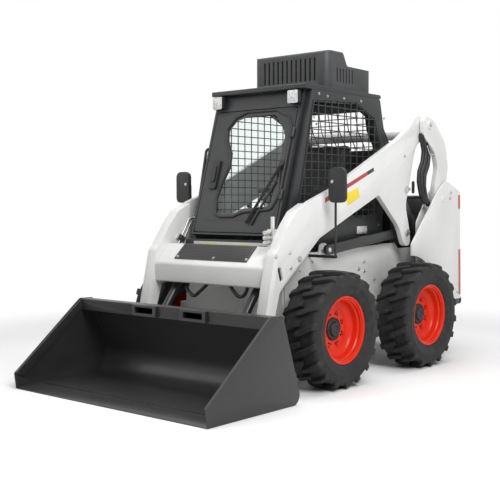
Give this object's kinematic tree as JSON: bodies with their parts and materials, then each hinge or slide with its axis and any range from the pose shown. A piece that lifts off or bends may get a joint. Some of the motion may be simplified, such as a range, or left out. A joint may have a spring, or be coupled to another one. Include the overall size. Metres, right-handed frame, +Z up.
{
  "type": "skid steer loader",
  "caption": "Compact wheeled loader with a closed cab, a vertical-lift arm on curved rear links and a wide bucket.",
  "frame": {"origin": "on the floor, under the middle of the bounding box with the bucket flat on the floor", "axes": "+X forward, towards the bucket; +Y to the operator's left; +Z up"},
  "size_m": [3.3783, 1.727, 2.296],
  "materials": {
    "paint_white": "semi-gloss",
    "paint_black": "satin",
    "cab_charcoal": "satin",
    "bucket_grey": "satin",
    "tyre": "matte",
    "rim_orange": "gloss",
    "glass": "polished",
    "plastic_black": "matte",
    "ac_grey": "matte",
    "lamp": "polished",
    "seat_black": "matte",
    "chrome": "polished",
    "steel": "brushed"
  },
  "bodies": {
    "machine": {"ac_unit": "ac_grey", "axle_tubes": "paint_black", "cab_back": "cab_charcoal", "cab_floor": "cab_charcoal", "cab_front": "cab_charcoal", "cab_roof": "cab_charcoal", "cab_side_left": "cab_charcoal", "cab_side_right": "cab_charcoal", "cab_sill": "cab_charcoal", "engine_block": "paint_black", "engine_hood": "cab_charcoal", "main_frame": "paint_white", "mirrors": "plastic_black", "rear_bumper": "paint_black", "seat": "seat_black", "side_panels": "paint_white", "side_screens": "cab_charcoal", "towers": "paint_white", "work_lamps": "lamp"},
    "tailgate": {"tailgate": "paint_white"},
    "door": {"door_frame": "cab_charcoal", "door_glass": "glass"},
    "rear_links": {"rear_links": "paint_white"},
    "control_links": {"control_links": "paint_black"},
    "lift_barrels": {"lift_barrels": "paint_black"},
    "lift_rods": {"lift_rods": "chrome"},
    "lift_arm": {"arm_cross_member": "paint_white", "arm_cross_tube": "paint_white", "arm_hydraulics": "steel", "lift_arm_left": "paint_white", "lift_arm_right": "paint_white", "step_plate": "paint_black"},
    "tilt_barrels": {"tilt_barrels": "paint_black"},
    "tilt_rods": {"tilt_rods": "chrome"},
    "bucket": {"bucket_shell": "bucket_grey", "cutting_edge": "bucket_grey", "quick_attach": "paint_black"},
    "wheel_front_left": {"tyre_front_left": "tyre", "rim_front_left": "rim_orange"},
    "wheel_front_right": {"tyre_front_right": "tyre", "rim_front_right": "rim_orange"},
    "wheel_rear_left": {"tyre_rear_left": "tyre", "rim_rear_left": "rim_orange"},
    "wheel_rear_right": {"tyre_rear_right": "tyre", "rim_rear_right": "rim_orange"}
  },
  "joints": [
    {"name": "wheel_front_left_spin", "type": "hinge", "parent": "machine", "child": "wheel_front_left", "pos_m": [0.3115, 0.698, 0.3865], "axis": [0, 1, 0], "continuous": true},
    {"name": "wheel_front_right_spin", "type": "hinge", "parent": "machine", "child": "wheel_front_right", "pos_m": [0.3115, -0.698, 0.3865], "axis": [0, 1, 0], "continuous": true},
    {"name": "wheel_rear_left_spin", "type": "hinge", "parent": "machine", "child": "wheel_rear_left", "pos_m": [-0.7705, 0.698, 0.3865], "axis": [0, 1, 0], "continuous": true},
    {"name": "wheel_rear_right_spin", "type": "hinge", "parent": "machine", "child": "wheel_rear_right", "pos_m": [-0.7705, -0.698, 0.3865], "axis": [0, 1, 0], "continuous": true},
    {"name": "rear_link_swing", "type": "hinge", "parent": "machine", "child": "rear_links", "pos_m": [-1.2495, 0, 1.24], "axis": [0, -1, 0], "range_deg": [-0.05, 12.65]},
    {"name": "arm_lift", "type": "hinge", "parent": "rear_links", "child": "lift_arm", "pos_m": [-1.0685, 0, 1.804], "axis": [0, -1, 0], "range_deg": [0, 51.4]},
    {"name": "control_link_swing", "type": "hinge", "parent": "machine", "child": "control_links", "pos_m": [0.0805, 0, 0.89], "axis": [0, 1, 0], "range_deg": [-0.05, 55.62]},
    {"name": "lift_barrel_swing", "type": "hinge", "parent": "machine", "child": "lift_barrels", "pos_m": [-1.3795, 0, 0.6], "axis": [0, -1, 0], "range_deg": [-0.05, 7.54]},
    {"name": "lift_rod_slide", "type": "slide", "parent": "lift_barrels", "child": "lift_rods", "axis": [0.6198, 0, 0.7847], "range_m": [-0.0005, 0.53702]},
    {"name": "bucket_tilt", "type": "hinge", "parent": "lift_arm", "child": "bucket", "pos_m": [0.8255, 0, 0.215], "axis": [0, 1, 0], "range_deg": [-28, 105]},
    {"name": "tilt_barrel_swing", "type": "hinge", "parent": "lift_arm", "child": "tilt_barrels", "pos_m": [0.5555, 0, 0.8], "axis": [0, 1, 0], "range_deg": [-1.45, 5.29]},
    {"name": "tilt_rod_slide", "type": "slide", "parent": "tilt_barrels", "child": "tilt_rods", "axis": [0.6139, 0, -0.7894], "range_m": [-0.06892, 0.25706]},
    {"name": "door_swing", "type": "hinge", "parent": "machine", "child": "door", "pos_m": [0.52304, 0.376, 0.99625], "axis": [-0.2955, 0, 0.9554], "range_deg": [0, 95]},
    {"name": "tailgate_swing", "type": "hinge", "parent": "machine", "child": "tailgate", "pos_m": [-1.5595, -0.622, 0.87], "axis": [0, 0, 1], "range_deg": [0, 100]}
  ],
  "couplings": [
    {"joint": "rear_link_swing", "follows": "arm_lift", "ratio": 0.24513},
    {"joint": "control_link_swing", "follows": "arm_lift", "ratio": 1.0811},
    {"joint": "lift_barrel_swing", "follows": "arm_lift", "ratio": 0.14568},
    {"joint": "lift_rod_slide", "follows": "arm_lift", "m_per_rad": 0.59805},
    {"joint": "tilt_barrel_swing", "follows": "bucket_tilt", "ratio": 0.049948},
    {"joint": "tilt_rod_slide", "follows": "bucket_tilt", "m_per_rad": 0.14}
  ]
}
